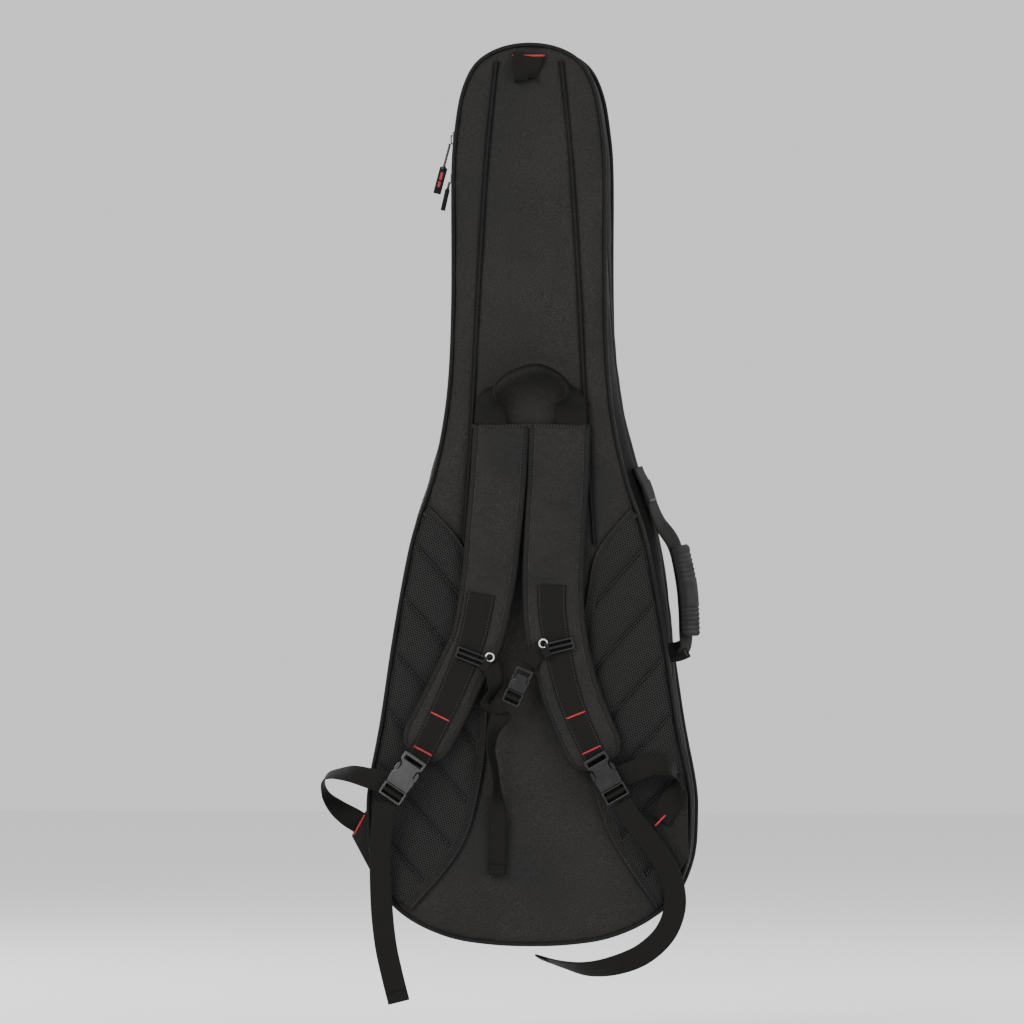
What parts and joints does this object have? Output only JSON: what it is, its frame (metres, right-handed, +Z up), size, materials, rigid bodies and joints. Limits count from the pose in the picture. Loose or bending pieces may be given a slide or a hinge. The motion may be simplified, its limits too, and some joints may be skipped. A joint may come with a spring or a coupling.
{
  "type": "padded gig bag",
  "caption": "Padded electric-guitar gig bag with tucked-away backpack straps, mesh back pads, side and grab handles, hang loop, zipped case and front pockets.",
  "frame": {"origin": "middle of the hang loop's sewn seam, on the outer face of the back panel", "axes": "+Z up along the bag towards the head end, +Y through the bag from the back with the straps to the front with the pockets, +X to the right of a viewer who looks at the back"},
  "size_m": [0.4515, 0.1686, 1.1291],
  "materials": {
    "cloth": "woven 600-denier polyester, matt with a slight sheen",
    "trim_cloth": "smooth woven binding cloth, matt",
    "webbing": "ribbed polypropylene webbing, satin",
    "mesh": "open air mesh over foam, matt",
    "plush": "short plush lining, matt",
    "foam": "closed-cell foam, matt",
    "zip": "zip tape with nylon coil, matt",
    "plastic": "moulded acetal, satin",
    "rubber": "moulded rubber, satin",
    "slider_metal": "black painted zinc, semi-gloss"
  },
  "bodies": {
    "tray": {"back_panel": "cloth", "back_foam": "foam", "back_lining": "plush", "centre_panel": "cloth", "centre_piping": "trim_cloth", "back_piping": "trim_cloth", "left_mesh_pad": "mesh", "right_mesh_pad": "mesh", "left_pad_binding": "trim_cloth", "right_pad_binding": "trim_cloth", "back_gusset": "trim_cloth", "main_zip_back": "zip", "spine_strip": "trim_cloth", "base_guard": "rubber", "strap_yoke": "trim_cloth", "left_adjust_loop": "webbing", "right_adjust_loop": "webbing", "left_anchor_tab": "trim_cloth", "right_anchor_tab": "trim_cloth", "side_handle_upper_tab": "webbing", "side_handle_lower_tab": "webbing", "neck_rest": "plush", "end_pin_pad": "plush"},
    "hang_loop": {"hang_loop": "webbing"},
    "grab_handle": {"grab_handle": "webbing"},
    "left_strap": {"left_shoulder_strap": "cloth", "left_strap_webbing": "webbing", "left_buckle_plug": "plastic", "left_tail": "webbing", "left_chest_slider": "plastic"},
    "right_strap": {"right_shoulder_strap": "cloth", "right_strap_webbing": "webbing", "right_buckle_plug": "plastic", "right_tail": "webbing", "right_chest_slider": "plastic"},
    "left_socket": {"left_buckle_socket": "plastic"},
    "right_socket": {"right_buckle_socket": "plastic"},
    "chest_strap": {"chest_loop": "webbing", "chest_link": "webbing", "chest_buckle_plug": "plastic", "chest_tail": "webbing"},
    "chest_socket": {"chest_buckle_socket": "plastic"},
    "side_handle": {"side_handle_webbing": "webbing", "side_handle_grip": "rubber"},
    "upper_slider": {"upper_slider": "slider_metal"},
    "lower_slider": {"lower_slider": "slider_metal"},
    "upper_pull": {"upper_pull": "rubber"},
    "lower_pull": {"lower_pull": "rubber"},
    "neck_strap": {"neck_strap": "webbing"},
    "lid": {"front_panel": "cloth", "front_lining": "plush", "front_gusset": "trim_cloth", "main_zip_front": "zip", "front_piping": "trim_cloth", "lower_pocket": "cloth", "slim_pocket": "cloth"},
    "pocket_slider": {"pocket_slider": "slider_metal"},
    "pocket_pull": {"pocket_pull": "plastic"},
    "slim_slider": {"slim_slider": "slider_metal"},
    "slim_pull": {"slim_pull": "plastic"}
  },
  "joints": [
    {"name": "lid_open", "type": "hinge", "parent": "tray", "child": "lid", "pos_m": [0.192, 0.048, -0.887], "axis": [0, 0, -1], "range_deg": [0, 100]},
    {"name": "hang_loop_flip", "type": "hinge", "parent": "tray", "child": "hang_loop", "pos_m": [0, -0.0045, 0.003], "axis": [-1, 0, 0], "range_deg": [0, 150]},
    {"name": "grab_handle_lift", "type": "hinge", "parent": "tray", "child": "grab_handle", "pos_m": [0.0025, -0.007, -0.429], "axis": [1, 0, 0], "range_deg": [0, 60]},
    {"name": "left_strap_swing", "type": "hinge", "parent": "tray", "child": "left_strap", "pos_m": [-0.036, -0.005, -0.433], "axis": [-1, 0, 0], "range_deg": [0, 25]},
    {"name": "right_strap_swing", "type": "hinge", "parent": "tray", "child": "right_strap", "pos_m": [0.033, -0.005, -0.433], "axis": [-1, 0, 0], "range_deg": [0, 25]},
    {"name": "left_buckle_release", "type": "slide", "parent": "left_strap", "child": "left_socket", "axis": [0.5592, 0, 0.829], "range_m": [0, 0.022]},
    {"name": "right_buckle_release", "type": "slide", "parent": "right_strap", "child": "right_socket", "axis": [-0.5, 0, 0.866], "range_m": [0, 0.022]},
    {"name": "chest_strap_swing", "type": "hinge", "parent": "left_strap", "child": "chest_strap", "pos_m": [-0.017, -0.028, -0.695], "axis": [-0.9955, 0, -0.0946], "range_deg": [0, 50]},
    {"name": "chest_buckle_release", "type": "slide", "parent": "chest_strap", "child": "chest_socket", "axis": [0.4067, 0, 0.9136], "range_m": [0, 0.005]},
    {"name": "side_handle_swing", "type": "hinge", "parent": "tray", "child": "side_handle", "pos_m": [0.1315, 0.024, -0.499], "axis": [0.2369, 0, -0.9715], "range_deg": [-18, 3]},
    {"name": "upper_slider_travel", "type": "slide", "parent": "tray", "child": "upper_slider", "axis": [0, 0, 1], "range_m": [0, 0.018]},
    {"name": "lower_slider_travel", "type": "slide", "parent": "tray", "child": "lower_slider", "axis": [0, 0, -1], "range_m": [0, 0.2]},
    {"name": "upper_pull_swing", "type": "hinge", "parent": "upper_slider", "child": "upper_pull", "pos_m": [-0.0987, 0.048, -0.102], "axis": [0, 1, 0], "range_deg": [0, 120]},
    {"name": "lower_pull_swing", "type": "hinge", "parent": "lower_slider", "child": "lower_pull", "pos_m": [-0.0987, 0.048, -0.147], "axis": [0, 1, 0], "range_deg": [0, 40]},
    {"name": "neck_strap_open", "type": "hinge", "parent": "tray", "child": "neck_strap", "pos_m": [-0.059, 0.0395, -0.371], "axis": [0, 0, 1], "range_deg": [0, 24]},
    {"name": "pocket_slider_travel", "type": "slide", "parent": "lid", "child": "pocket_slider", "axis": [1, 0, 0], "range_m": [0, 0.16]},
    {"name": "pocket_pull_swing", "type": "hinge", "parent": "pocket_slider", "child": "pocket_pull", "pos_m": [-0.0785, 0.1242, -0.563], "axis": [1, 0, 0], "range_deg": [0, 110]},
    {"name": "slim_slider_travel", "type": "slide", "parent": "lid", "child": "slim_slider", "axis": [1, 0, 0], "range_m": [0, 0.1]},
    {"name": "slim_pull_swing", "type": "hinge", "parent": "slim_slider", "child": "slim_pull", "pos_m": [-0.0485, 0.1182, -0.205], "axis": [1, 0, 0], "range_deg": [0, 110]}
  ],
  "couplings": [
    {"joint": "right_strap_swing", "follows": "left_strap_swing", "ratio": 1}
  ]
}
